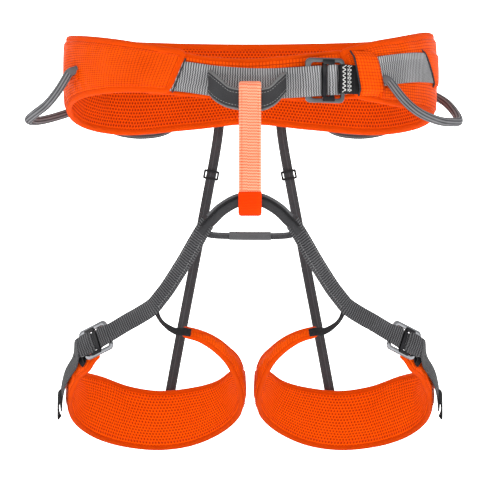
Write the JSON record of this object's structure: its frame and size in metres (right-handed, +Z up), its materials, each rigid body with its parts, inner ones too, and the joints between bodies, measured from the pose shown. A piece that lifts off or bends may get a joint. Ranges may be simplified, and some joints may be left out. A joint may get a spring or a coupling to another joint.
{
  "type": "sit harness",
  "caption": "Padded sit harness for climbing: waist belt with quick-adjust buckle, two adjustable padded leg loops, belay loop, tie-in loops and gear loops.",
  "frame": {"origin": "centre of the waist opening, level with the middle of the padded belt", "axes": "+X to the wearer's left, +Y to the wearer's back, +Z up"},
  "size_m": [0.3829, 0.2687, 0.3705],
  "materials": {
    "orange_ripstop": "woven",
    "spacer_mesh": "open mesh",
    "foam": "closed-cell foam",
    "edge_binding": "folded tape",
    "belay_webbing": "ribbed webbing",
    "belay_sleeve": "ribbed webbing",
    "grey_webbing": "ribbed webbing",
    "dark_webbing": "ribbed webbing",
    "gear_loop_cover": "ribbed webbing",
    "gear_core_plastic": "matte",
    "black_plastic": "matte",
    "elastic_web": "elastic webbing",
    "tie_in_fabric": "woven",
    "edging": "folded tape",
    "leg_buckle_steel": "polished",
    "waist_buckle_alloy": "anodised"
  },
  "bodies": {
    "belt": {"belt_shell": "orange_ripstop", "belt_foam": "foam", "belt_load_webbing": "dark_webbing", "belt_mesh_liner": "spacer_mesh", "belt_binding": "edge_binding", "tongue_pad": "orange_ripstop", "waist_strap": "grey_webbing", "buckle_anchor_webbing": "dark_webbing", "waist_buckle_frame": "waist_buckle_alloy", "tail_keeper_front": "orange_ripstop", "tail_keeper_rear": "orange_ripstop", "upper_tie_in_loop": "tie_in_fabric", "upper_tie_in_edging": "edging", "lower_tie_in_loop": "tie_in_fabric", "stabiliser_strap": "dark_webbing", "stabiliser_sleeve": "tie_in_fabric", "gear_loop_patches": "dark_webbing", "riser_top_tabs": "dark_webbing", "left_riser": "elastic_web", "right_riser": "elastic_web", "left_riser_adjuster": "black_plastic", "right_riser_adjuster": "black_plastic"},
    "left_leg": {"left_leg_shell": "orange_ripstop", "left_leg_foam": "foam", "left_leg_load_webbing": "dark_webbing", "left_leg_mesh_liner": "spacer_mesh", "left_leg_binding": "edge_binding", "left_leg_strap": "dark_webbing", "left_leg_branch_strap": "dark_webbing", "left_leg_anchor_webbing": "dark_webbing", "left_leg_buckle_frame": "leg_buckle_steel", "left_leg_tail_keeper": "dark_webbing"},
    "right_leg": {"right_leg_shell": "orange_ripstop", "right_leg_foam": "foam", "right_leg_load_webbing": "dark_webbing", "right_leg_mesh_liner": "spacer_mesh", "right_leg_binding": "edge_binding", "right_leg_strap": "dark_webbing", "right_leg_branch_strap": "dark_webbing", "right_leg_anchor_webbing": "dark_webbing", "right_leg_buckle_frame": "leg_buckle_steel", "right_leg_tail_keeper": "dark_webbing"},
    "waist_slider": {"waist_buckle_slider": "waist_buckle_alloy"},
    "belay": {"belay_loop": "belay_webbing", "belay_loop_sleeve": "belay_sleeve"},
    "left_front_gear": {"left_front_gear_loop": "gear_loop_cover", "left_front_gear_core": "gear_core_plastic"},
    "right_front_gear": {"right_front_gear_loop": "gear_loop_cover", "right_front_gear_core": "gear_core_plastic"},
    "left_rear_gear": {"left_rear_gear_loop": "gear_loop_cover", "left_rear_gear_core": "gear_core_plastic"},
    "right_rear_gear": {"right_rear_gear_loop": "gear_loop_cover", "right_rear_gear_core": "gear_core_plastic"},
    "left_leg_slider": {"left_leg_buckle_slider": "leg_buckle_steel"},
    "right_leg_slider": {"right_leg_buckle_slider": "leg_buckle_steel"}
  },
  "joints": [
    {"name": "left_leg_swing", "type": "hinge", "parent": "belt", "child": "left_leg", "pos_m": [0, -0.125, -0.13], "axis": [1, 0, 0], "range_deg": [-25, 12], "stiffness_Nm_per_rad": 6, "deforming": ["left_riser"]},
    {"name": "right_leg_swing", "type": "hinge", "parent": "belt", "child": "right_leg", "pos_m": [0, -0.125, -0.13], "axis": [1, 0, 0], "range_deg": [-25, 12], "stiffness_Nm_per_rad": 6, "deforming": ["right_riser"]},
    {"name": "belay_loop_sway", "type": "hinge", "parent": "belt", "child": "belay", "pos_m": [0, -0.136, -0.014], "axis": [0, 1, 0], "range_deg": [-3, 3]},
    {"name": "right_front_gear_swing", "type": "hinge", "parent": "belt", "child": "right_front_gear", "pos_m": [0.1175, -0.0885, -0.005], "axis": [0.2822, 0.9593, 0.0071], "range_deg": [-50, 5], "stiffness_Nm_per_rad": 0.02},
    {"name": "left_front_gear_swing", "type": "hinge", "parent": "belt", "child": "left_front_gear", "pos_m": [-0.154, -0.0495, 0.005], "axis": [0.0558, 0.9864, -0.1544], "range_deg": [-15, 50], "stiffness_Nm_per_rad": 0.02},
    {"name": "right_rear_gear_swing", "type": "hinge", "parent": "belt", "child": "right_rear_gear", "pos_m": [0.1345, 0.08, -0.01], "axis": [-0.9142, 0.4052, 0], "range_deg": [-40, 8], "stiffness_Nm_per_rad": 0.02},
    {"name": "left_rear_gear_swing", "type": "hinge", "parent": "belt", "child": "left_rear_gear", "pos_m": [-0.1345, 0.08, -0.01], "axis": [0.9142, 0.4052, 0], "range_deg": [-8, 40], "stiffness_Nm_per_rad": 0.02},
    {"name": "waist_slider_travel", "type": "slide", "parent": "belt", "child": "waist_slider", "axis": [0.9612, 0.2758, 0], "range_m": [-0.006, 0.002], "deforming": ["waist_strap"]},
    {"name": "left_leg_slider_travel", "type": "slide", "parent": "left_leg", "child": "left_leg_slider", "axis": [-0.7557, 0.5291, -0.3859], "range_m": [-0.005, 0.003], "deforming": ["left_leg_strap"]},
    {"name": "right_leg_slider_travel", "type": "slide", "parent": "right_leg", "child": "right_leg_slider", "axis": [0.7557, 0.5291, -0.3859], "range_m": [-0.005, 0.003], "deforming": ["right_leg_strap"]}
  ]
}
